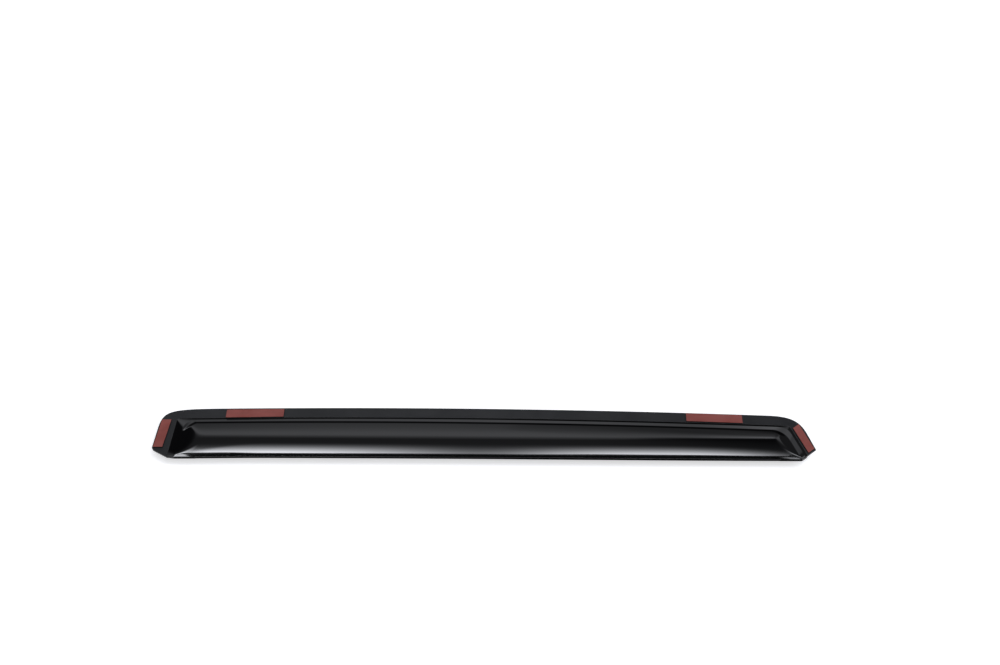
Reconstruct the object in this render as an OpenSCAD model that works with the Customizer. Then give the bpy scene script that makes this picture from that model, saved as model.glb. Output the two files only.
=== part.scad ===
// Rain deflector for a rear side window.
// It lies on its outer face, with the side that faces the car up, as it would on a bench.
// A flat bonding flange runs round three sides of a shallow trough, and the fourth side is the
// free edge that hangs over the glass. Ribs run from the rim of the flange to the free edge,
// and the shell is lofted over them. X is along the length, Y is from the free edge to the
// flange, and the origin is under the middle of the part.

/* [Shell] */
// Overall length
length = 700; // [620:10:780]
// Width from the free edge to the crown of the top edge
width = 64.4; // [62:0.2:72]
// Wall thickness of the moulding
wall = 2.2; // [1.8:0.1:2.8]
// Depth of the trough under the flange
trough_depth = 8.5; // [7.5:0.1:11]
// Distance of the deepest line from the free edge
belly_line = 29.5; // [27:0.5:31]
// Distance of the foot of the slanted wall from the free edge, at the left end
crease_left = 35.5; // [33:0.5:38]
// Distance of the foot of the slanted wall from the free edge, at the right end
crease_right = 32; // [31:0.5:33]

/* [Top edge] */
// Radius of the long arc of the top edge
top_radius = 8000; // [7000:100:12000]
// Distance of the crown of that arc from the left end
crown_from_left = 280; // [260:5:320]
// Size of the left upper corner
left_corner = 17; // [12:0.5:20]
// Size of the right upper corner
right_corner = 22; // [16:0.5:24]

/* [Flange] */
// Width of the flange along the top edge
flange_w = 13; // [12.6:0.1:14.5]
// Width of the left leg, at the free edge
left_leg_w = 18; // [15:0.5:21]
// Width of the right leg, along X
right_leg_w = 13; // [12.4:0.1:15]
// Lean of the outer edge of the left leg, as run for each unit of rise
left_lean = 0.06; // [0:0.01:0.1]
// Lean of the inner edge of the left leg
left_pocket_lean = 0.02; // [0:0.01:0.05]
// Lean of both edges of the right leg
right_lean = 0.33; // [0.2:0.01:0.4]
// Height at which the oblique cut under the left leg ends
left_cut = 10.8; // [7:0.1:14]
// Height at which the oblique cut under the right leg ends
right_cut = 11.2; // [7:0.1:14]
// How far the tips of the legs reach below the line of the free edge
tip_drop = 1.3; // [0.5:0.1:2.5]
// Length over which the free edge runs down to each tip
tip_run = 40; // [25:1:60]

/* [Stepped rim of the trough] */
// Height of the upper step, from the flange to the ledge
upper_step = 1.8; // [1.2:0.1:2.4]
// Run of the upper step's drafted wall
upper_run = 0.5; // [0.3:0.1:0.8]
// Width of the ledge along the top
ledge_w = 2.5; // [2:0.1:3.5]
// Height of the lower step, from the ledge to the trough
lower_step = 2.4; // [1.8:0.1:3]
// Run of the lower step's drafted wall
lower_run = 0.6; // [0.3:0.1:0.9]
// Run of the upper step on the right leg
right_upper_run = 2.6; // [1.5:0.1:3]
// Width of the ledge on the right leg
right_ledge_w = 3.5; // [2.5:0.1:4]
// Run of the lower step on the right leg
right_lower_run = 1.5; // [1:0.1:2]
// Fall of the flat left end wall, as drop for each unit of run
left_fall = 0.5; // [0.4:0.02:0.7]
// Fall of the turned right end
right_fall = 0.6; // [0.4:0.02:0.8]

/* [Adhesive tape] */
// Thickness of the foam tape
foam_t = 1.1; // [0.8:0.1:1.6]
// Thickness of the release liner on the tape
liner_t = 0.12; // [0.08:0.02:0.2]
// Width of the two tapes along the top edge
tape_w = 10.6; // [8:0.2:11]
// Distance between a tape and the rim of the flange
tape_margin = 1.2; // [0.6:0.1:1.5]
// Length of the left tape along the top edge
top_left_len = 62; // [40:1:80]
// Distance of that tape from the left end
top_left_at = 71; // [50:1:120]
// Length of the right tape along the top edge
top_right_len = 60; // [40:1:80]
// Distance of that tape from the right end
top_right_at = 72; // [50:1:120]
// Height over which the tape on the left leg runs
left_tape_len = 36; // [25:1:38]
// Width of the tape on the left leg, along X
left_tape_w = 10; // [8:0.2:12]
// Height over which the tape on the right leg runs
right_tape_len = 32; // [22:1:34]
// Width of the tape on the right leg, along X
right_tape_w = 8.8; // [7:0.2:9.6]

/* [Smoothness] */
// Ribs along each leg of the flange
leg_ribs = 8; // [6:1:10]
// Ribs round each upper corner
corner_ribs = 7; // [5:1:9]
// Ribs along the top edge
top_ribs = 56; // [40:1:60]
// Steps along each rib across the trough
trough_steps = 20; // [16:1:22]

/* [Hidden] */

// Corner size of the left inner corner of the flange, which is a sharp fold
fold_corner = 2.5;
// Corner size of the ledge where it turns down into the left end wall
ledge_corner = 11;
// Corner size of the rim of the trough at the right end
right_rim_corner = 13;
// Run of the left end wall down to each of the three rim rows
left_rows = [5, 8, 9.5];
// Weight that makes a corner curve nearly a circular arc
corner_weight = 0.72;
// Sharpness of the blend between the walls of the trough
blend = 8;
// Depth below which the trough counts as level with the flange
no_depth = 0.001;
// Room between the tape on the right leg and the leg's outer edge, and above its cut
right_side_room = 1.8;
right_foot_room = 0.6;
// Depth of the whole stepped rim
rim_depth = upper_step + lower_step;
// Insets of the three rim rows from the inner edge of the flange, along the top
top_rows = [upper_run, upper_run + ledge_w, upper_run + ledge_w + lower_run];
// Insets of the same rows on the right leg
right_rows = [
    right_upper_run,
    right_upper_run + right_ledge_w,
    right_upper_run + right_ledge_w + right_lower_run
];
// Radius of the arc that rises from the deepest line to the free edge
lip_radius = (pow(belly_line, 2) + pow(trough_depth, 2)) / (2 * trough_depth);
// Where the two legs' edges would meet the line of the free edge
left_rim_x = -left_lean * left_cut;
right_rim_x = length + right_lean * right_cut;
left_pocket_x = left_leg_w;
right_pocket_x = right_rim_x - right_leg_w;
right_tip_x = right_pocket_x - right_rows[2];

function mix(a, b, t) = a + (b - a) * t;
function clamp(t) = min(1, max(0, t));
function unit(v) = v / norm(v);
function ease(t) = t * t * (3 - 2 * t);

// The free edge in plan: straight, but for the run down to the tip of each leg
function tip_fade(d) = 1 - ease(clamp(d / tip_run));
function free_y(x) = -tip_drop * (tip_fade(x - left_pocket_x) + tip_fade(right_tip_x - x));

// Height of the top edge over the free edge
function top_y(x) = width - top_radius + sqrt(pow(top_radius, 2) - pow(x - crown_from_left, 2));

// Curve round a corner from a to b
function turn(a, corner, b, t) =
    let (u = 1 - t, w = 2 * corner_weight * t * u)
    (a * u * u + corner * w + b * t * t) / (u * u + w + t * t);

// Corner where a leaning line meets the top edge, inset by drop
function corner_at(x0, lean, drop) =
    let (y1 = top_y(x0) - drop, y2 = top_y(x0 + lean * y1) - drop)
    [x0 + lean * y2, y2];

// One row of the shell in plan: up the left leg, along the top and down the right leg.
// left and right are [x at the free edge, lean, corner size, lowest y] of the two lines.
function row(left, drop, right) =
    let (
        cl = corner_at(left[0], left[1], drop),
        cr = corner_at(right[0], right[1], drop),
        yl = cl[1] - left[2],
        yr = cr[1] - right[2],
        a0 = [left[0] + left[1] * left[3], left[3]],
        a1 = [left[0] + left[1] * yl, yl],
        d0 = [right[0] + right[1] * right[3], right[3]],
        d1 = [right[0] + right[1] * yr, yr],
        xa = cl[0] + left[2],
        xb = cr[0] - right[2],
        b0 = [xa, top_y(xa) - drop],
        b1 = [xb, top_y(xb) - drop]
    )
    concat(
        [for (i = [0 : leg_ribs - 1]) mix(a0, a1, i / leg_ribs)],
        [for (i = [0 : corner_ribs - 1]) turn(a1, cl, b0, i / corner_ribs)],
        [for (i = [0 : top_ribs - 1]) let (x = mix(xa, xb, i / top_ribs)) [x, top_y(x) - drop]],
        [for (i = [0 : corner_ribs - 1]) turn(b1, cr, d1, i / corner_ribs)],
        [for (i = [0 : leg_ribs]) mix(d1, d0, i / leg_ribs)]
    );

// Height at which a line of the right leg meets the oblique cut under that leg
right_cut_rise = (right_cut + tip_drop) / (length - right_tip_x);
function right_start(x0) =
    (right_cut_rise * (x0 - right_tip_x) - tip_drop) / (1 + right_cut_rise * right_lean);

outer_row = row(
    [left_rim_x, left_lean, left_corner, left_cut], 0,
    [right_rim_x, -right_lean, right_corner, right_cut]
);
fold_row = row(
    [left_pocket_x, left_pocket_lean, fold_corner, -tip_drop], flange_w,
    [right_pocket_x, -right_lean, right_rim_corner, right_start(right_pocket_x)]
);
rim_rows = [
    for (k = [0 : 2]) row(
        [left_pocket_x + left_rows[k], left_pocket_lean, ledge_corner,
            free_y(left_pocket_x + left_rows[k])],
        flange_w + top_rows[k],
        [right_pocket_x - right_rows[k], -right_lean, right_rim_corner,
            right_start(right_pocket_x - right_rows[k])]
    )
];
last_rib = len(outer_row) - 1;

// Share of the length of the innermost rim row that lies before each rib
rim_run = [
    for (i = 0, run = 0; i <= last_rib;
        run = run + (i < last_rib ? norm(rim_rows[2][i + 1] - rim_rows[2][i]) : 0), i = i + 1) run
];
free_start = rim_rows[2][0][0] + wall;
free_end = rim_rows[2][last_rib][0] - wall;
function free_x(i) = mix(free_start, free_end, rim_run[i] / rim_run[last_rib]);

// Depth of the trough where only the free edge and the belly limit it
function lip_depth(x, y) =
    let (short = belly_line - (y - free_y(x)))
    short <= 0 ? trough_depth
    : max(0, trough_depth - lip_radius + sqrt(max(0, pow(lip_radius, 2) - pow(short, 2))));

// Depth under the slanted wall, whose foot runs straight while its top follows the top edge
function far_depth(x, y) =
    let (
        top = top_y(x) - flange_w - top_rows[2],
        foot = mix(crease_left, crease_right, x / length)
    )
    rim_depth + (top - y) * (trough_depth - rim_depth) / (top - foot);

function left_depth(x, y) = (x - left_pocket_x - left_pocket_lean * y) * left_fall;
function right_depth(x, y) = rim_depth + (right_tip_x - right_lean * y - x) * right_fall;

// Smooth least of several depths
function least(depths) =
    let (m = min(depths))
    m < no_depth ? 0 : m * pow([for (d = depths) pow(m / d, blend)] * [for (d = depths) 1], -1 / blend);

function trough_at(x, y) =
    least([lip_depth(x, y), far_depth(x, y), left_depth(x, y), right_depth(x, y)]);

// How far a rib has turned from the plain left end wall, 0, to the stepped rim, 1
function stepped(i) = ease(clamp((i - leg_ribs) / corner_ribs));

// Depth of a rim row, which fades out where it meets the free edge
function rim_at(i, k) =
    least([
        mix(left_rows[k] * left_fall, upper_step, stepped(i)),
        lip_depth(rim_rows[k][i][0], rim_rows[k][i][1])
    ]);

function under(p, depth) = [p[0], p[1], -depth];

// Points of the face that looks at the car, rib by rib
inner = [
    for (i = [0 : last_rib])
    let (a = rim_rows[2][i], b = [free_x(i), free_y(free_x(i))])
    concat(
        [under(outer_row[i], 0), under(fold_row[i], 0)],
        [for (k = [0 : 1]) under(rim_rows[k][i], rim_at(i, k))],
        [for (j = [0 : trough_steps])
            let (p = mix(a, b, j / trough_steps))
            under(p, trough_at(p[0], p[1]))]
    )
];
last_step = len(inner[0]) - 1;

// Unit normal of the stretch after step j of rib i, on the side of the car. The first and the
// last rib end along the free edge, so there the row before the edge gives the direction.
function across(i, j, at) =
    let (
        step = i == 0 || i == last_rib ? min(at, last_step - 1) : at,
        along = inner[min(i + 1, last_rib)][step] - inner[max(i - 1, 0)][step],
        n = unit(cross(along, inner[i][j] - inner[i][j + 1]))
    )
    n[2] < 0 ? -n : n;

// Point of the outer face, one wall behind both stretches that meet at the inner point
function behind(i, j) =
    let (
        m = across(i, max(j - 1, 0), j),
        n = across(i, min(j, last_step - 1), j)
    )
    inner[i][j] - wall * (m + n) / (1 + m * n);

outer = [for (i = [0 : last_rib]) [for (j = [0 : last_step]) behind(i, j)]];

// The part is lifted so that its belly stands on the ground plane, over the origin
flange_z = -min([for (rib = outer) for (p = rib) p[2]]);
all_y = [for (skin = [inner, outer]) for (rib = skin) for (p = rib) p[1]];
middle = [length / 2, (min(all_y) + max(all_y)) / 2, 0];

// Faces of the shell: the two skins and the band that joins them along the rim
rib_points = last_step + 1;
skin_points = (last_rib + 1) * rib_points;
function at(i, j, skin) = skin * skin_points + i * rib_points + j;
function pair(a, b, c, d) = [[a, b, c], [a, c, d]];
shell_faces = concat(
    [for (i = [0 : last_rib - 1]) for (j = [0 : last_step - 1])
        each pair(at(i, j, 0), at(i + 1, j, 0), at(i + 1, j + 1, 0), at(i, j + 1, 0))],
    [for (i = [0 : last_rib - 1]) for (j = [0 : last_step - 1])
        each pair(at(i, j + 1, 1), at(i + 1, j + 1, 1), at(i + 1, j, 1), at(i, j, 1))],
    [for (i = [0 : last_rib - 1])
        each pair(at(i, 0, 1), at(i + 1, 0, 1), at(i + 1, 0, 0), at(i, 0, 0))],
    [for (i = [0 : last_rib - 1])
        each pair(at(i, last_step, 0), at(i + 1, last_step, 0),
            at(i + 1, last_step, 1), at(i, last_step, 1))],
    [for (j = [0 : last_step - 1])
        each pair(at(0, j, 0), at(0, j + 1, 0), at(0, j + 1, 1), at(0, j, 1))],
    [for (j = [0 : last_step - 1])
        each pair(at(last_rib, j, 1), at(last_rib, j + 1, 1),
            at(last_rib, j + 1, 0), at(last_rib, j, 0))]
);

module deflector_body() {
    color([0.03, 0.03, 0.035])
        translate([0, 0, flange_z] - middle)
            polyhedron(points = [for (skin = [inner, outer]) for (rib = skin) each rib],
                faces = shell_faces, convexity = 6);
}

// A flat strip of tape or liner that starts at height z over the flange
module strip(outline, z, thickness) {
    translate([0, 0, flange_z + z] - middle)
        linear_extrude(thickness)
            polygon(outline);
}

// Outline of a tape along the top edge, square to the edge's chord
function top_outline(x0, x1) =
    let (
        a = [x0, top_y(x0) - tape_margin],
        b = [x1, top_y(x1) - tape_margin],
        along = unit(b - a),
        in = [along[1], -along[0]] * tape_w
    )
    [a, a + in, b + in, b];

// Outline of the tape on the left leg, whose ends are level
function left_outline() =
    let (
        y0 = left_cut,
        y1 = left_cut + left_tape_len,
        x0 = left_rim_x + tape_margin
    )
    [
        [x0 + left_lean * y0, y0], [x0 + left_lean * y0 + left_tape_w, y0],
        [x0 + left_lean * y1 + left_tape_w, y1], [x0 + left_lean * y1, y1]
    ];

// Outline of the tape on the right leg, whose ends follow the oblique cut
function right_outline() =
    let (
        slip = right_tape_w * right_cut_rise / (1 + right_cut_rise * right_lean),
        y0 = right_cut + right_foot_room,
        y1 = y0 + right_tape_len,
        x0 = right_rim_x - right_side_room
    )
    [
        [x0 - right_lean * y0, y0], [x0 - right_lean * y1, y1],
        [x0 - right_lean * (y1 - slip) - right_tape_w, y1 - slip],
        [x0 - right_lean * (y0 - slip) - right_tape_w, y0 - slip]
    ];

top_left_outline = top_outline(top_left_at, top_left_at + top_left_len);
top_right_outline = top_outline(length - top_right_at - top_right_len, length - top_right_at);

module foam(outline) { color([0.09, 0.09, 0.09]) strip(outline, 0, foam_t); }
module liner(outline) { color([0.55, 0.28, 0.27]) strip(outline, foam_t, liner_t); }

module left_end_tape() { foam(left_outline()); }
module left_end_liner() { liner(left_outline()); }
module top_left_tape() { foam(top_left_outline); }
module top_left_liner() { liner(top_left_outline); }
module top_right_tape() { foam(top_right_outline); }
module top_right_liner() { liner(top_right_outline); }
module right_end_tape() { foam(right_outline()); }
module right_end_liner() { liner(right_outline()); }

deflector_body();
left_end_tape();
left_end_liner();
top_left_tape();
top_left_liner();
top_right_tape();
top_right_liner();
right_end_tape();
right_end_liner();
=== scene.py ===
# %% [markdown]
# A rain deflector for a rear side window lies on white card, with the side that is taped to the
# car up. The CAD model is loaded first and stays fixed: it gives the length, the ground, the
# place of every pad and the box that all must stay in. It could be dressed with materials alone,
# but the polished trough is judged by its reflections, and those need a finer and softer skin
# than the solid has.

# %% Load the CAD model
from math import radians, sqrt
import bmesh
import bpy
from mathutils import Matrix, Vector


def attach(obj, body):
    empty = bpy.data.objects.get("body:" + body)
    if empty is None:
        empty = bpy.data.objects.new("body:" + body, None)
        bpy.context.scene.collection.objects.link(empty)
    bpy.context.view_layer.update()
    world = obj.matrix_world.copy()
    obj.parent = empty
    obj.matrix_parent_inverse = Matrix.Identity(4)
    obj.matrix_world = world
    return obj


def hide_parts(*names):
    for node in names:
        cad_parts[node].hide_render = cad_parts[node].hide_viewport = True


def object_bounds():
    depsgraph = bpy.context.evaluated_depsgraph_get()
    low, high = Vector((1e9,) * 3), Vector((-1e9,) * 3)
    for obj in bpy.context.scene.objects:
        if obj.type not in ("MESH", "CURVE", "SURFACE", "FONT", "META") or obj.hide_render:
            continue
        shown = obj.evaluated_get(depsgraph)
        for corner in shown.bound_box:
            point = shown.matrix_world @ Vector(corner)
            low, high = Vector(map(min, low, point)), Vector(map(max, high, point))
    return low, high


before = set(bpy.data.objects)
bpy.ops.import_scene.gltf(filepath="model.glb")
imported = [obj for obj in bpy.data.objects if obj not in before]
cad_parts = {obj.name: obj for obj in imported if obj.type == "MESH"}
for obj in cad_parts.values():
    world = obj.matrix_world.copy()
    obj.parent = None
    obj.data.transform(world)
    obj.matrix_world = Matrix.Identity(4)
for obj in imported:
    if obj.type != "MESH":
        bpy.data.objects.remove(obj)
cad_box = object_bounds()
MM = 0.001
print("CAD box in mm:", [[round(c / MM, 2) for c in corner] for corner in cad_box])

# %% [markdown]
# The photograph looks down on the part at nearly 50 degrees, from a little over a metre away.
# The camera's place and lens were worked out rather than set by eye: the four corners of the
# flange, which is flat, fix both. It is made first, because every later look depends on it.

# %% Camera
LENS_MM = 37.8
CAMERA_PLACE_MM = (20.35, -667.7, 915.6)
CAMERA_PITCH, CAMERA_YAW = 48.1, 0.28

camera = bpy.data.objects.new("camera", bpy.data.cameras.new("camera"))
bpy.context.collection.objects.link(camera)
camera.data.lens = LENS_MM
camera.location = [c * MM for c in CAMERA_PLACE_MM]
camera.rotation_euler = (radians(90 - CAMERA_PITCH), 0, radians(CAMERA_YAW))
bpy.context.scene.camera = camera
print("camera", round(camera.location.length, 3), "m from the part")

# %% [markdown]
# The moulding is one shell of even wall, so it is described by ribs that run from the rim of
# the flange to the free edge. A designer would draw rails and loft between them, and the next
# cells do the same. Sizes are in millimetres, from the left end and up from the free edge. The
# length, the wall and the depth of the steps are those of the solid. The plan is read closer
# from the photograph: a softer left shoulder, a narrower and more upright right leg, and a free
# edge that sweeps down to the right.

# %% Sizes of the moulding, in millimetres
LENGTH = round((cad_box[1][0] - cad_box[0][0]) / MM, 1)
WIDTH, WALL = 64.4, 2.2
TOP_RADIUS, CROWN_X = 10200, 245
FLANGE_W, LEFT_LEG_W, RIGHT_LEG_W = 13, 18, 12.4

# How far each side leans for a millimetre up the plan, and where the two feet are cut
LEFT_LEAN, LEFT_POCKET_LEAN = 0.03, 0.02
RIGHT_LEAN, RIGHT_POCKET_LEAN = 0.27, 0.32
LEFT_CUT, RIGHT_CUT, FOOT_ROUND = 8.6, 11.2, 3

# The free edge drops toward the left tip and sweeps down to the right
TIP_DROP, TIP_RUN = 1.1, 110
FREE_SWEEP, SWEEP_START, SWEEP_RUN = 1.26, 230, 390

# Down into the trough: two steps with a ledge between them, the slanted wall and the belly
UPPER_STEP, LOWER_STEP = 1.8, 2.4
RIM_DEPTH = UPPER_STEP + LOWER_STEP
TOP_LEDGE_SLOPE, LEG_LEDGE_SLOPE = 0.09, 0.26
TROUGH_DEPTH = 8.46
BELLY_LEFT, BELLY_RIGHT = 30, 29.5
CREASE_LEFT, CREASE_RIGHT = 36, 33.5
WALL_BOW = 0.15
LEFT_FALL, RIGHT_FALL = 0.35, 0.6

# The three rows of the stepped rim, set off from the inner edge of the flange
TOP_ROWS_LEFT, TOP_ROWS_RIGHT = (0.5, 3.0, 3.8), (0.5, 4.3, 5.1)
LEFT_ROWS, RIGHT_ROWS = (7.6, 8.2, 9.5), (1.6, 6.8, 7.8)

# Corners: size along the leg, size along the top and fullness
LEFT_CORNER, RIGHT_CORNER = (25, 57, 2), (23, 31, 1.3)
FOLD_CORNER = (2.5, 2.5, 1)
LEFT_ROW_CORNERS = ((13, 13, 1), (12, 12, 0.3), (11, 11, 0.3))
RIGHT_ROW_CORNERS = ((11, 11, 1), (13, 13, 0.85), (13, 13, 0.85))
FOOT_FULL = 0.7

LEFT_RIM_X = -LEFT_LEAN * (LEFT_CUT + FOOT_ROUND)
RIGHT_RIM_X = LENGTH + RIGHT_LEAN * RIGHT_CUT
RIGHT_POCKET_X = RIGHT_RIM_X - RIGHT_LEG_W
RIGHT_TIP_X = RIGHT_POCKET_X - RIGHT_ROWS[2]
print("length", LENGTH, "mm, right tip of the trough at", round(RIGHT_TIP_X, 1), "mm")

# %% [markdown]
# Two long edges carry the whole plan: the gently arched top, which follows the frame of the
# window, and the free edge, which hangs over the glass. Both are functions of the place along
# the part, so that every rail and wall can be set off from them.

# %% The two long edges
def clamp(t):
    return min(1, max(0, t))


def ease(t):
    return t * t * (3 - 2 * t)


def top_y(x):
    return WIDTH - TOP_RADIUS + sqrt(TOP_RADIUS ** 2 - (x - CROWN_X) ** 2)


def under_top(x, drop):
    """Height of a rail set off from the top edge by drop, given at the left and right end."""
    return top_y(x) - drop[0] - (drop[1] - drop[0]) * x / LENGTH


def free_y(x):
    left = 1 - ease(clamp((x - LEFT_LEG_W) / TIP_RUN))
    right = ease(clamp((x - SWEEP_START) / SWEEP_RUN))
    return -TIP_DROP * left - FREE_SWEEP * right


print("top edge falls", round(top_y(CROWN_X) - top_y(LENGTH), 1), "mm to the right end")

# %% [markdown]
# Each rail goes up the left leg, round a corner, along the top and down the right leg. A conic
# makes the corners, because a moulding's corners ease into their straights instead of starting
# at once as a compass arc does. The ribs are nearly three times as close as in the solid, so
# that a highlight runs along the trough without a facet.

# %% How a rail is drawn
LEG_RIBS, CORNER_RIBS, TOP_RIBS = 24, 21, 150


def turn(a, corner, b, full, t):
    """The point at t of a conic from a to b. The fuller, the nearer it comes to the corner."""
    w = 2 * full * t * (1 - t)
    return (a * (1 - t) ** 2 + corner * w + b * t * t) / ((1 - t) ** 2 + w + t * t)


def leg_of_rail(side, drop, inward):
    """Foot, top of the leg, corner, x where the top begins, and fullness. side is (x at the
    free edge, lean, corner, lowest y), and inward is 1 at the left, -1 at the right."""
    x0, lean, (along_leg, along_top, full), lowest = side
    corner_y = under_top(x0 + lean * under_top(x0, drop), drop)
    corner = Vector((x0 + lean * corner_y, corner_y))
    leg_y = corner.y - along_leg
    return (Vector((x0 + lean * lowest, lowest)), Vector((x0 + lean * leg_y, leg_y)), corner,
            corner.x + inward * along_top, full)


def rail(left, drop, right):
    foot_l, leg_l, corner_l, x_l, full_l = leg_of_rail(left, drop, 1)
    foot_r, leg_r, corner_r, x_r, full_r = leg_of_rail(right, drop, -1)
    top_l, top_r = (Vector((x, under_top(x, drop))) for x in (x_l, x_r))
    points = [foot_l.lerp(leg_l, i / LEG_RIBS) for i in range(LEG_RIBS)]
    points += [turn(leg_l, corner_l, top_l, full_l, i / CORNER_RIBS) for i in range(CORNER_RIBS)]
    for i in range(TOP_RIBS):
        x = x_l + (x_r - x_l) * i / TOP_RIBS
        points.append(Vector((x, under_top(x, drop))))
    points += [turn(top_r, corner_r, leg_r, full_r, i / CORNER_RIBS) for i in range(CORNER_RIBS)]
    points += [leg_r.lerp(foot_r, i / LEG_RIBS) for i in range(LEG_RIBS + 1)]
    return points


halfway = turn(Vector((0, 0)), Vector((0, 1)), Vector((1, 1)), 1, 0.5)
print("halfway, a corner of fullness 1 passes", round((halfway - Vector((0, 1))).length, 2),
      "of its size from the sharp corner")

# %% [markdown]
# Five rails are lofted: the rim of the flange, the fold at its inner edge and the three rows of
# the stepped rim. The right end is cut off along one slanted line, so every inner rail starts
# on it. The left foot of the rim is rounded, as the photograph shows.

# %% The five rails
FOOT_RIBS = 6
RIGHT_CUT_SLOPE = (RIGHT_CUT + FREE_SWEEP) / (LENGTH - RIGHT_TIP_X)


def on_right_cut(x0):
    """Where a rail of the pocket that would reach the free edge at x0 meets the slanted cut."""
    return ((RIGHT_CUT_SLOPE * (x0 - RIGHT_TIP_X) - FREE_SWEEP)
            / (1 + RIGHT_CUT_SLOPE * RIGHT_POCKET_LEAN))


fold_rail = rail(
    (LEFT_LEG_W, LEFT_POCKET_LEAN, FOLD_CORNER, -TIP_DROP), (FLANGE_W, FLANGE_W),
    (RIGHT_POCKET_X, -RIGHT_POCKET_LEAN, FOLD_CORNER, on_right_cut(RIGHT_POCKET_X)))
rim_rails = []
for k in range(3):
    left_x, right_x = LEFT_LEG_W + LEFT_ROWS[k], RIGHT_POCKET_X - RIGHT_ROWS[k]
    rim_rails.append(rail(
        (left_x, LEFT_POCKET_LEAN, LEFT_ROW_CORNERS[k], free_y(left_x)),
        (FLANGE_W + TOP_ROWS_LEFT[k], FLANGE_W + TOP_ROWS_RIGHT[k]),
        (right_x, -RIGHT_POCKET_LEAN, RIGHT_ROW_CORNERS[k], on_right_cut(right_x))))
outer_rail = rail((LEFT_RIM_X, LEFT_LEAN, LEFT_CORNER, LEFT_CUT), (0, 0),
                  (RIGHT_RIM_X, -RIGHT_LEAN, RIGHT_CORNER, RIGHT_CUT))

foot, leg_top = outer_rail[0], outer_rail[LEG_RIBS]
foot_side = foot + Vector((LEFT_LEAN, 1)) * FOOT_ROUND
foot_front = foot + (fold_rail[0] - foot).normalized() * FOOT_ROUND
for i in range(LEG_RIBS):
    if i <= FOOT_RIBS:
        outer_rail[i] = turn(foot_front, foot, foot_side, FOOT_FULL, i / FOOT_RIBS)
    else:
        outer_rail[i] = foot_side.lerp(leg_top, (i - FOOT_RIBS) / (LEG_RIBS - FOOT_RIBS))
LAST_RIB = len(outer_rail) - 1
print(2 + len(rim_rails), "rails with", LAST_RIB + 1, "ribs across them")

# %% [markdown]
# Across a rib, the trough is the smooth least of four depths: the lip that rises to the free
# edge, the slanted wall under the ledge, the plain left end wall and the turned right end. A
# smooth least is how the soft meeting of such walls is got without filleting each by hand. Its
# blend is an exponent, and the higher it is, the sharper the walls meet.

# %% Depth of the trough
NO_DEPTH = 0.001
WALL_BLEND, END_BLEND = 8, 11


def least(depths, blend):
    m = min(depths)
    if m < NO_DEPTH:
        return 0
    return m * sum((m / d) ** blend for d in depths) ** (-1 / blend)


def lip_depth(x, y):
    belly = BELLY_LEFT + (BELLY_RIGHT - BELLY_LEFT) * x / LENGTH
    radius = (belly ** 2 + TROUGH_DEPTH ** 2) / (2 * TROUGH_DEPTH)
    short = belly - (y - free_y(x))
    if short <= 0:
        return TROUGH_DEPTH
    return max(0, TROUGH_DEPTH - radius + sqrt(max(0, radius ** 2 - short ** 2)))


def far_depth(x, y):
    top = under_top(x, (FLANGE_W + TOP_ROWS_LEFT[2], FLANGE_W + TOP_ROWS_RIGHT[2]))
    t = (top - y) / (top - CREASE_LEFT - (CREASE_RIGHT - CREASE_LEFT) * x / LENGTH)
    return RIM_DEPTH + (TROUGH_DEPTH - RIM_DEPTH) * t * (1 + WALL_BOW * (1 - clamp(t)))


def trough_depth_at(x, y):
    left = (x - LEFT_LEG_W - LEFT_POCKET_LEAN * y) * LEFT_FALL
    right = RIM_DEPTH + (RIGHT_TIP_X - RIGHT_POCKET_LEAN * y - x) * RIGHT_FALL
    section = least([lip_depth(x, y), far_depth(x, y)], WALL_BLEND)
    return least([section, left, right], END_BLEND)


print("depth at mid length", round(trough_depth_at(LENGTH / 2, BELLY_LEFT), 2), "mm")

# %% [markdown]
# The inner skin is a table with one row of points for each rib. A row starts with the rim of
# the flange and the fold, goes down the two steps, and then runs through the trough to the free
# edge. On the left leg the steps fade into the end wall, and on the right leg the ledge tips
# further toward the trough. Such a small flat face mirrors one spot of the studio, so its slope
# was set by how light the face is in the photograph.

# %% Inner skin
TROUGH_STEPS = 44

rim_run = [0.0]
for i in range(LAST_RIB):
    rim_run.append(rim_run[-1] + (rim_rails[2][i + 1] - rim_rails[2][i]).length)
free_start = rim_rails[2][0].x + WALL
free_end = rim_rails[2][LAST_RIB].x - WALL


def skin_rib(i):
    plan = [(outer_rail[i], 0), (fold_rail[i], 0)]
    stepped = ease(clamp((i - LEG_RIBS) / CORNER_RIBS))
    turned = ease(clamp((i - LAST_RIB + LEG_RIBS + CORNER_RIBS) / CORNER_RIBS))
    slope = TOP_LEDGE_SLOPE + (LEG_LEDGE_SLOPE - TOP_LEDGE_SLOPE) * turned
    for k in range(2):
        p = rim_rails[k][i]
        ledge_drop = UPPER_STEP + slope * (p - rim_rails[0][i]).length
        drop = LEFT_ROWS[k] * LEFT_FALL * (1 - stepped) + ledge_drop * stepped
        plan.append((p, least([drop, lip_depth(p.x, p.y)], WALL_BLEND)))
    x = free_start + (free_end - free_start) * rim_run[i] / rim_run[LAST_RIB]
    free = Vector((x, free_y(x)))
    for j in range(TROUGH_STEPS + 1):
        p = rim_rails[2][i].lerp(free, j / TROUGH_STEPS)
        plan.append((p, trough_depth_at(p.x, p.y)))
    return [Vector((p.x, p.y, -depth)) for p, depth in plan]


inner = [skin_rib(i) for i in range(LAST_RIB + 1)]
LAST_STEP = len(inner[0]) - 1
print("inner skin is", LAST_RIB + 1, "by", LAST_STEP + 1, "points")

# %% [markdown]
# The outer skin lies one wall behind. At each point the wall is set off from both stretches
# that meet there, so it stays even round a bend. Solidify would do this on a gentle sheet, but
# it can fold over itself at steps that are smaller than the wall.

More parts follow.
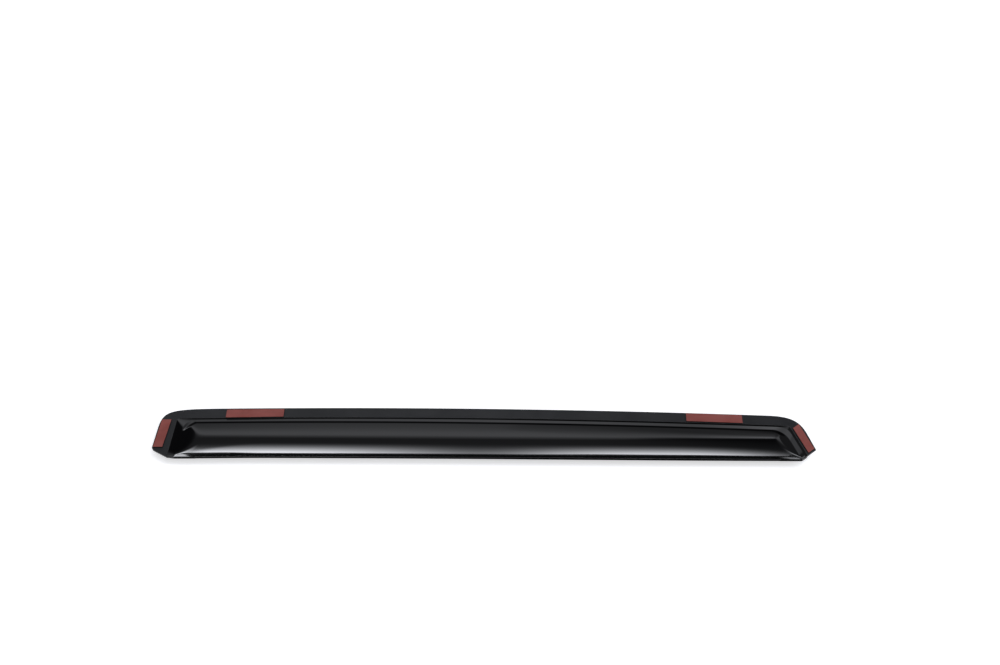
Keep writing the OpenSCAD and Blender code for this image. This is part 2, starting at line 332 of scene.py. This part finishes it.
# %% Outer skin
def across(i, j, at):
    """Upward normal at the point at, of the stretch from j to the next point of rib i."""
    if i in (0, LAST_RIB):
        at = min(at, LAST_STEP - 1)
    along = inner[min(i + 1, LAST_RIB)][at] - inner[max(i - 1, 0)][at]
    normal = along.cross(inner[i][j] - inner[i][j + 1]).normalized()
    return -normal if normal.z < 0 else normal


def behind(i, j):
    m, n = across(i, max(j - 1, 0), j), across(i, min(j, LAST_STEP - 1), j)
    return inner[i][j] - WALL * (m + n) / (1 + m.dot(n))


outer = [[behind(i, j) for j in range(LAST_STEP + 1)] for i in range(LAST_RIB + 1)]
flange_z = min(v.co.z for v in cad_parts["top_left_tape"].data.vertices) / MM
MIDDLE = Vector((LENGTH / 2, WIDTH - cad_box[1][1] / MM, -flange_z))
print("flange stands", round(flange_z, 3), "mm over the ground, and the lowest point",
      round(min(p.z for rib in outer for p in rib) + flange_z, 3))

# %% [markdown]
# A grid gets one vertex for each point of the table, one extrusion of the whole sheet makes the
# wall, and layers of numbers on the vertices say where each one belongs. Modelling it by hand
# would take a subdivision cage, which is quick but can't keep a flat flange beside a soft
# trough.

# %% Shell of the moulding
def frame_point(p):
    return (p - MIDDLE) * MM


def shell_mesh():
    bm = bmesh.new()
    rib_of, step_of, skin_of = (bm.verts.layers.int.new(n) for n in ("rib", "step", "skin"))
    bmesh.ops.create_grid(bm, x_segments=LAST_RIB, y_segments=LAST_STEP, size=1)
    for v in bm.verts:
        v[rib_of] = round((v.co.x + 1) / 2 * LAST_RIB)
        v[step_of] = round((1 - v.co.y) / 2 * LAST_STEP)
    grown = bmesh.ops.extrude_face_region(bm, geom=bm.faces[:], use_keep_orig=True)
    for v in [g for g in grown["geom"] if isinstance(g, bmesh.types.BMVert)]:
        v[skin_of] = 1
    for v in bm.verts:
        v.co = frame_point((outer if v[skin_of] else inner)[v[rib_of]][v[step_of]])
    bmesh.ops.recalc_face_normals(bm, faces=bm.faces[:])
    return bm


shell = shell_mesh()
print("shell before its edges are rounded:", len(shell.faces), "faces, closed:",
      all(e.is_manifold for e in shell.edges), ", volume in cm3:",
      round(shell.calc_volume() * 1e6, 1))

# %% [markdown]
# The creases, the rim and the cut ends of the flange are bevelled, because a mould's edges are
# never sharp and each one catches a thin line of light. Only edges with room beside them are
# rounded. Toward the tips the ribs run together, and there a bevel would fold over its
# neighbours, so it is left to end on its own.

# %% Round the creases and the rim
EDGE_ROUND = 0.3 * MM
CREASE_ROOM, RIM_ROOM = 0.6 * MM, 0.7 * MM
ROUND_STEPS = 3
RIM_POINTS = 4
rib_of, step_of, skin_of = (shell.verts.layers.int[n] for n in ("rib", "step", "skin"))


def beside(v, layer):
    """Lengths of the edges at v that cross from one value of the layer to the next."""
    return [e.calc_length() for e in v.link_edges if e.verts[0][layer] != e.verts[1][layer]]


def edges_along(layer, values, least_room):
    """Edges of one skin that keep to one of the layer's values, with room beside them."""
    edges = []
    for e in shell.edges:
        a, b = e.verts
        if a[skin_of] == b[skin_of] and a[layer] == b[layer] and a[layer] in values:
            if min(beside(a, layer) + beside(b, layer)) > least_room:
                edges.append(e)
    return edges


creases = edges_along(step_of, range(1, RIM_POINTS + 1), CREASE_ROOM)
rims = edges_along(step_of, (0, LAST_STEP), RIM_ROOM)
cuts = [e for e in edges_along(rib_of, (0, LAST_RIB), RIM_ROOM)
        if max(v[step_of] for v in e.verts) == 1]
bmesh.ops.bevel(shell, geom=creases + rims + cuts, offset=EDGE_ROUND, offset_type="OFFSET",
                affect="EDGES", segments=ROUND_STEPS, profile=0.5, material=-1,
                clamp_overlap=False)
print("rounded", len(creases), "crease edges,", len(rims), "rim edges and", len(cuts), "cut edges")

# Every coordinate of the shell is clamped into the CAD's box. Nothing may stand outside
# the CAD's box, not by a thousandth
for v in shell.verts:
    v.co = [min(max(c, low), high) for c, low, high in zip(v.co, *cad_box)]

# %% [markdown]
# A finished mesh becomes a piece that takes the place of one solid. Edges sharper than the
# bevels leave stay sharp, and weighted normals keep the flat faces flat in the light.

# %% From mesh to piece
SHARP = radians(32)


def piece_from(bm, name, materials, node):
    for face in bm.faces:
        face.smooth = True
    for e in bm.edges:
        e.smooth = e.calc_face_angle(0) < SHARP
    mesh = bpy.data.meshes.new(name)
    bm.to_mesh(mesh)
    bm.free()
    for material in materials:
        mesh.materials.append(material)
    piece = bpy.data.objects.new(name, mesh)
    bpy.context.collection.objects.link(piece)
    weigh = piece.modifiers.new("flat faces stay flat", "WEIGHTED_NORMAL")
    weigh.keep_sharp = True
    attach(piece, "root")
    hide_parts(node)
    print(name, "has", len(mesh.polygons), "faces")
    return piece


# %% [markdown]
# Every finish is made of nodes. One function turns a hex colour to linear light, and one adds a
# node with its settings and links. Two more draw what every moulded or rolled surface has: a
# relief of soft lumps, and a value that drifts from patch to patch. Both take the real size of
# the lumps or patches in millimetres.

# %% Helpers for finishes
DRIFT_FROM, DRIFT_TO = 0.3, 0.7


def linear(hex_colour):
    channels = [int(hex_colour[i:i + 2], 16) / 255 for i in (0, 2, 4)]
    return [c / 12.92 if c <= 0.04045 else ((c + 0.055) / 1.055) ** 2.4 for c in channels] + [1]


def add_node(tree, kind, inputs, **settings):
    """inputs maps a socket's name or number to a value, or to the socket that feeds it."""
    node = tree.nodes.new(kind)
    for name, value in settings.items():
        setattr(node, name, value)
    for key, value in inputs.items():
        if isinstance(value, bpy.types.NodeSocket):
            tree.links.new(value, node.inputs[key])
        else:
            node.inputs[key].default_value = value
    return node


def new_finish(name):
    """An empty material, its tree and the place on the piece in metres."""
    material = bpy.data.materials.new(name)
    material.use_nodes = True
    tree = material.node_tree
    tree.nodes.clear()
    place = add_node(tree, "ShaderNodeTexCoord", {}).outputs["Object"]
    return material, tree, place


def close_finish(material, shader):
    tree = material.node_tree
    add_node(tree, "ShaderNodeOutputMaterial", {"Surface": shader.outputs[0]})
    print(material.name, "is made of", len(tree.nodes), "nodes")
    return material


def lumps(tree, place, size_mm, height, detail, beneath=None):
    """A relief of soft lumps about size_mm across, laid over the relief beneath."""
    noise = add_node(tree, "ShaderNodeTexNoise", {
        "Vector": place, "Scale": 1 / (size_mm * MM), "Detail": detail})
    relief = {"Height": noise.outputs["Fac"], "Distance": height, "Strength": 1}
    if beneath:
        relief["Normal"] = beneath
    return add_node(tree, "ShaderNodeBump", relief).outputs[0]


def drift(tree, place, size_mm, low, high, detail=2):
    """A value that drifts between low and high over patches about size_mm across."""
    noise = add_node(tree, "ShaderNodeTexNoise", {
        "Vector": place, "Scale": 1 / (size_mm * MM), "Detail": detail})
    return add_node(tree, "ShaderNodeMapRange", {
        "Value": noise.outputs["Fac"], "From Min": DRIFT_FROM, "From Max": DRIFT_TO,
        "To Min": low, "To Max": high}).outputs["Result"]


print("a mid grey, 808080, is", round(linear("808080")[0], 3), "in linear light")

# %% [markdown]
# The moulding is smoke-tinted acrylic, PMMA, so dark at this thickness that it reads as black.
# Its colour is almost nothing: what the eye sees is reflection. A polished tool leaves it with a
# roughness near that of glass. The flow of the melt leaves long, very shallow waves and a fine
# ripple on them, which make a reflection in plastic swim a little where one in glass is still.

# %% Smoke-tinted acrylic, polished
PMMA_IOR = 1.49
FLOW_MM, FLOW_HEIGHT = 60, 0.008 * MM
RIPPLE_MM, RIPPLE_HEIGHT = 7, 0.0006 * MM
POLISH_MM, POLISH_ROUGHNESS = 35, (0.055, 0.085)


def polished_acrylic():
    material, tree, place = new_finish("smoke_tinted_acrylic_polished")
    flow = lumps(tree, place, FLOW_MM, FLOW_HEIGHT, 0)
    shader = add_node(tree, "ShaderNodeBsdfPrincipled", {
        "Base Color": linear("040405"), "IOR": PMMA_IOR,
        "Roughness": drift(tree, place, POLISH_MM, *POLISH_ROUGHNESS),
        "Normal": lumps(tree, place, RIPPLE_MM, RIPPLE_HEIGHT, 1, flow)})
    return close_finish(material, shader)


acrylic_polished = polished_acrylic()

# %% [markdown]
# The bonding faces come from a part of the tool that is only stoned, not polished. The same
# plastic there gives a broad, soft grey instead of a mirror image. Its real grain of a few
# hundredths of a millimetre can't show from a metre away, so it is drawn about 1 mm wide.

# %% Smoke-tinted acrylic, satin
SATIN_MM, SATIN_HEIGHT = 1.0, 0.012 * MM
STONED_MM, STONED_ROUGHNESS = 20, (0.30, 0.36)


def satin_acrylic():
    material, tree, place = new_finish("smoke_tinted_acrylic_satin")
    shader = add_node(tree, "ShaderNodeBsdfPrincipled", {
        "Base Color": linear("1B1C1E"), "IOR": PMMA_IOR,
        "Roughness": drift(tree, place, STONED_MM, *STONED_ROUGHNESS),
        "Normal": lumps(tree, place, SATIN_MM, SATIN_HEIGHT, 3)})
    return close_finish(material, shader)


acrylic_satin = satin_acrylic()

# %% [markdown]
# The shell now takes both finishes. The tool leaves the flat bonding faces satin, so that the
# tape keys to them, and all the rest polished. They could be two pieces, but the real one is a
# single moulding, so its faces are sorted instead: the satin ones look straight up and lie at
# the height of the flange.

# %% The moulding
POLISHED, SATIN = 0, 1
FLAT_BAND = 0.05 * MM
LOOKS_UP = 0.9

bmesh.ops.recalc_face_normals(shell, faces=shell.faces[:])
for face in shell.faces:
    lowest = min(v.co.z for v in face.verts)
    on_flange = lowest > flange_z * MM - FLAT_BAND and face.normal.z > LOOKS_UP
    face.material_index = SATIN if on_flange else POLISHED
print("shell closed:", all(e.is_manifold for e in shell.edges))
moulding = piece_from(shell, "deflector_shell", (acrylic_polished, acrylic_satin),
                      "deflector_body")

# %% [markdown]
# Four pads of double-sided tape sit on the flange. Each is a strip of black acrylic foam about a
# millimetre thick, under a release liner that is peeled off before fitting. Both start from the
# CAD's own solids, so they can't drift from them. A copy of such a solid is loose triangles, so
# it is merged and its flat faces are joined before an edge is touched.

# %% Strips from the solids
PADS = ("left_end", "top_left", "top_right", "right_end")
FLAT_JOIN = radians(1)


def strip_from(node):
    bm = bmesh.new()
    bm.from_mesh(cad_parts[node].data)
    bmesh.ops.remove_doubles(bm, verts=bm.verts[:], dist=0.001 * MM)
    bmesh.ops.dissolve_limit(bm, angle_limit=FLAT_JOIN, verts=bm.verts[:], edges=bm.edges[:])
    return bm


for pad in PADS:
    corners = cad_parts[pad + "_liner"].data.vertices
    across_x = max(v.co.x for v in corners) - min(v.co.x for v in corners)
    print(pad, "liner covers", round(across_x / MM, 1), "mm along the part")

# %% [markdown]
# Closed-cell foam is cut with a knife, so its sides show open pores and its edges are soft. It
# gives back almost no light, which is why the pads seem to float on a black line.

# %% Black acrylic foam
FOAM_ROUND = 0.12 * MM
PORE_MM, PORE_DEPTH = 0.45, 0.06 * MM
DUST_MM = 4
FOAM_IOR, FOAM_ROUGHNESS = 1.45, 0.92


def foam_finish():
    material, tree, place = new_finish("acrylic_foam_black")
    pores = add_node(tree, "ShaderNodeTexVoronoi", {
        "Vector": place, "Scale": 1 / (PORE_MM * MM)}).outputs["Distance"]
    open_cells = add_node(tree, "ShaderNodeBump", {
        "Height": pores, "Distance": PORE_DEPTH, "Strength": 1})
    dust = add_node(tree, "ShaderNodeMix", {
        "Factor": drift(tree, place, DUST_MM, 0, 1),
        "A": linear("121212"), "B": linear("1C1B1B")}, data_type="RGBA")
    shader = add_node(tree, "ShaderNodeBsdfPrincipled", {
        "Base Color": dust.outputs[2], "Roughness": FOAM_ROUGHNESS, "IOR": FOAM_IOR,
        "Normal": open_cells.outputs[0]})
    return close_finish(material, shader)


def foam_pad(node):
    bm = strip_from(node)
    bmesh.ops.bevel(bm, geom=bm.edges[:], offset=FOAM_ROUND, offset_type="OFFSET",
                    affect="EDGES", segments=2, profile=0.5, material=-1)
    piece_from(bm, node + "_foam", (foam_black,), node)


foam_black = foam_finish()
for pad in PADS:
    foam_pad(pad + "_tape")

# %% [markdown]
# The liner is dyed polyethylene film, a tenth of a millimetre thick. It is dull but not matt: a
# film that was rolled on and cut has faint bubbles and drag marks, and they show as pale and
# dark clouds and streaks along it. They are too shallow to model, so a bump draws them. The long
# faces are cut across, so that none is a thin sliver.

# %% Brick-red release liner
STRIP_CUTS = 30
CLOUD_MM = 16
DRAG_MM, DRAG_STRETCH, DRAG_DEPTH = 2.5, (0.15, 1, 1), 0.02 * MM
SCUFFED = 0.35
FILM_IOR, FILM_ROUGHNESS = 1.51, (0.42, 0.55)


def liner_finish():
    material, tree, place = new_finish("polyethylene_liner_brick_red")
    cloud = drift(tree, place, CLOUD_MM, 0, 1, 3)
    along = add_node(tree, "ShaderNodeMapping", {"Vector": place, "Scale": DRAG_STRETCH})
    streaks = along.outputs[0]
    dye = add_node(tree, "ShaderNodeMix", {
        "Factor": cloud, "A": linear("85382F"), "B": linear("95473F")}, data_type="RGBA")
    scuffed = add_node(tree, "ShaderNodeMix", {
        "Factor": drift(tree, streaks, DRAG_MM, 0, SCUFFED), "A": dye.outputs[2],
        "B": linear("743C33")}, data_type="RGBA")
    dullness = add_node(tree, "ShaderNodeMapRange", {
        "Value": cloud, "From Min": DRIFT_FROM, "From Max": DRIFT_TO,
        "To Min": FILM_ROUGHNESS[0], "To Max": FILM_ROUGHNESS[1]})
    shader = add_node(tree, "ShaderNodeBsdfPrincipled", {
        "Base Color": scuffed.outputs[2], "IOR": FILM_IOR, "Roughness": dullness.outputs[0],
        "Normal": lumps(tree, streaks, DRAG_MM, DRAG_DEPTH, 2)})
    return close_finish(material, shader)


def release_liner(node):
    bm = strip_from(node)
    longest = sorted(bm.edges, key=lambda e: e.calc_length())[-4:]
    bmesh.ops.subdivide_edges(bm, edges=longest, cuts=STRIP_CUTS, use_grid_fill=True)
    piece_from(bm, node + "_film", (liner_red,), node)


liner_red = liner_finish()
for pad in PADS:
    release_liner(pad + "_liner")

# %% [markdown]
# The part lies on a wide sheet of white card. The card is white where light falls on it and
# keeps the soft shadow under the belly. For the camera, and in gloss, its own colour is lifted a
# little, so that the paper reads as white without any more light on the part.

# %% White card
CARD_SIZE = 8
CARD_LIFT = 0.57


def card_finish():
    material, tree, _ = new_finish("white_card")
    path = add_node(tree, "ShaderNodeLightPath", {}).outputs
    seen = add_node(tree, "ShaderNodeMath", {0: path["Is Camera Ray"], 1: path["Is Glossy Ray"]},
                    operation="ADD")
    seen = add_node(tree, "ShaderNodeMath",
                    {0: seen.outputs[0], 1: path["Is Transmission Ray"]},
                    operation="ADD", use_clamp=True)
    lift = add_node(tree, "ShaderNodeMath", {0: seen.outputs[0], 1: CARD_LIFT},
                    operation="MULTIPLY")
    paper = add_node(tree, "ShaderNodeBsdfDiffuse", {"Color": linear("EDEDEE")})
    glow = add_node(tree, "ShaderNodeEmission", {"Color": linear("FFFFFF"),
                                                 "Strength": lift.outputs[0]})
    both = add_node(tree, "ShaderNodeAddShader", {0: paper.outputs[0], 1: glow.outputs[0]})
    return close_finish(material, both)


card_mesh = bmesh.new()
bmesh.ops.create_grid(card_mesh, x_segments=1, y_segments=1, size=CARD_SIZE / 2)
card_data = bpy.data.meshes.new("card")
card_mesh.to_mesh(card_data)
card_mesh.free()
card_data.materials.append(card_finish())
card = bpy.data.objects.new("card", card_data)
bpy.context.collection.objects.link(card)
print("card", CARD_SIZE, "m wide")

# %% [markdown]
# Black gloss shows the studio, not itself, so the studio is drawn with care. It could be built
# of area lamps and flags, but a sky that is bright by direction lights as softly as large boxes
# do, and without their noise. Three angles say where a ray goes: how far it leans to a side, how
# far round from straight behind the table it points, and how far it has turned up from the
# horizon at the back, over the top, toward the front. A light is then a brightness that is cut
# off by soft edges.

# %% Directions in the studio
world = bpy.data.worlds.new("studio")
bpy.context.scene.world = world
world.use_nodes = True
sky = world.node_tree
sky.nodes.clear()
toward = add_node(sky, "ShaderNodeSeparateXYZ", {
    "Vector": add_node(sky, "ShaderNodeTexCoord", {}).outputs["Generated"]}).outputs
sideways = add_node(sky, "ShaderNodeMath", {0: toward["X"]}, operation="ARCSINE").outputs[0]
round_from_back = add_node(sky, "ShaderNodeMath", {0: toward["X"], 1: toward["Y"]},
                           operation="ARCTAN2").outputs[0]
over_back = add_node(sky, "ShaderNodeMath", {0: toward["Z"], 1: toward["Y"]},
                     operation="ARCTAN2").outputs[0]


def soft_light(brightness, *edges):
    """Each edge is an angle and (from, to, value at from, value at to), in degrees."""
    for angle, (start, end, low, high) in edges:
        edge = add_node(sky, "ShaderNodeMapRange", {
            "Value": angle, "From Min": radians(start), "From Max": radians(end),
            "To Min": low, "To Max": high}, interpolation_type="SMOOTHSTEP").outputs["Result"]
        brightness = add_node(sky, "ShaderNodeMath", {0: brightness, 1: edge},
                              operation="MULTIPLY").outputs[0]
    return brightness


print("three angles from", len(sky.nodes), "nodes")

# %% [markdown]
# A broad soft light hangs overhead, and the slanted wall of the trough mirrors it as dark grey.
# It starts above a dark gap, which the bottom of the trough mirrors as a black band. The gap
# reaches a few degrees higher on the right, where the foot of the wall is dark too. The light
# fades toward the front, so that the two steep steps stay dark lines, and ends at the left, so
# that the right end wall, which faces left, stays black. A brighter lamp beside it, on the
# right, lifts the ledge and the wall toward the right end, and with them the liners and the card.

# %% The light overhead
OVER_GAP = (56, 70.5, 0, 1)
GAP_LIFT = (6, 10, 0, radians(5))
TOWARD_FRONT = (112, 70, 0.35, 1.2)
AT_THE_FRONT = (160, 120, 0.2, 1)
LEFT_END = (-22, -15.5, 0, 1)
SIDE_LAMP_SIDE = (9, 20, 0, 2.3)
SIDE_LAMP_FOOT = (66, 74, 0, 1)

over_gap = add_node(sky, "ShaderNodeMath", {
    0: over_back, 1: soft_light(1, (sideways, GAP_LIFT))}, operation="SUBTRACT").outputs[0]
side_lamp = soft_light(1, (sideways, SIDE_LAMP_SIDE), (over_back, SIDE_LAMP_FOOT))
with_side_lamp = add_node(sky, "ShaderNodeMath", {0: 1, 1: side_lamp}, operation="ADD")
overhead = soft_light(with_side_lamp.outputs[0], (over_gap, OVER_GAP), (over_back, TOWARD_FRONT),
                      (over_back, AT_THE_FRONT), (sideways, LEFT_END))
print("light overhead from", OVER_GAP[1], "degrees up")

# %% [markdown]
# A white sweep stands behind the table, and the lip of the trough mirrors it as one bright band
# along the part. It is brightest low down, and has a lamp to each side, so the band is bright at
# both ends and dim in the middle. Its lower edge is what draws the sharp lower end of the band,
# and it lies a few degrees higher in two places, right of the middle and far left.

# %% The sweep behind the table
SWEEP_FALL, FALL_POWER = (44, 6, 0, 1), 1.4
SWEEP_FOOT = (5.5, 8.5, 0, 1)
RIGHT_LIFT_START, RIGHT_LIFT_END = (1, 6, 0, 1), (14, 10, 0, radians(2.5))
LEFT_LIFT = (-13, -15.5, 0, radians(3))
LEFT_LAMP_START, LEFT_LAMP_END = (-17.8, -16.4, 0, 9.2), (-1, -13.5, 0, 1)
RIGHT_LAMP = (-1, 8, 0, 7.4)
BETWEEN_LAMPS = 1.9
SWEEP_END = (16.5, 10, 0, 1)

right_lift = soft_light(1, (round_from_back, RIGHT_LIFT_START), (round_from_back, RIGHT_LIFT_END))
left_lift = soft_light(1, (round_from_back, LEFT_LIFT))
lift = add_node(sky, "ShaderNodeMath", {0: right_lift, 1: left_lift}, operation="ADD").outputs[0]
over_foot = add_node(sky, "ShaderNodeMath", {0: over_back, 1: lift},
                     operation="SUBTRACT").outputs[0]
left_lamp = soft_light(1, (round_from_back, LEFT_LAMP_START), (round_from_back, LEFT_LAMP_END))
lamps = add_node(sky, "ShaderNodeMath", {
    0: left_lamp, 1: soft_light(1, (round_from_back, RIGHT_LAMP))}, operation="ADD").outputs[0]
level = add_node(sky, "ShaderNodeMath", {0: lamps, 1: BETWEEN_LAMPS}, operation="ADD").outputs[0]
fall = add_node(sky, "ShaderNodeMath", {
    0: soft_light(1, (over_back, SWEEP_FALL)), 1: FALL_POWER}, operation="POWER").outputs[0]
evenly_lit = soft_light(fall, (over_foot, SWEEP_FOOT), (round_from_back, SWEEP_END))
sweep = add_node(sky, "ShaderNodeMath", {0: evenly_lit, 1: level},
                 operation="MULTIPLY").outputs[0]
print("sweep up to", SWEEP_FALL[0], "degrees high")

# %% [markdown]
# The dark between the two lights still gives back a little, least at the far right. The sum
# lights the part and is what its gloss mirrors. The camera itself sees plain white instead, so
# that the background is white without any more light.

# %% Studio and backdrop
GAP_LIGHT = (26, 6, 0.03, 0.2)

two_lights = add_node(sky, "ShaderNodeMath", {0: overhead, 1: sweep}, operation="ADD")
all_lights = add_node(sky, "ShaderNodeMath", {
    0: two_lights.outputs[0], 1: soft_light(1, (round_from_back, GAP_LIGHT))}, operation="ADD")
studio = add_node(sky, "ShaderNodeBackground", {
    "Color": linear("F7F9FF"), "Strength": all_lights.outputs[0]})
backdrop = add_node(sky, "ShaderNodeBackground", {"Color": linear("FFFFFF"), "Strength": 1})
seen_by_camera = add_node(sky, "ShaderNodeLightPath", {}).outputs["Is Camera Ray"]
both = add_node(sky, "ShaderNodeMixShader", {
    0: seen_by_camera, 1: studio.outputs[0], 2: backdrop.outputs[0]})
add_node(sky, "ShaderNodeOutputWorld", {"Surface": both.outputs[0]})
bpy.context.scene.view_settings.view_transform = "Standard"
print("studio of", len(sky.nodes), "nodes")
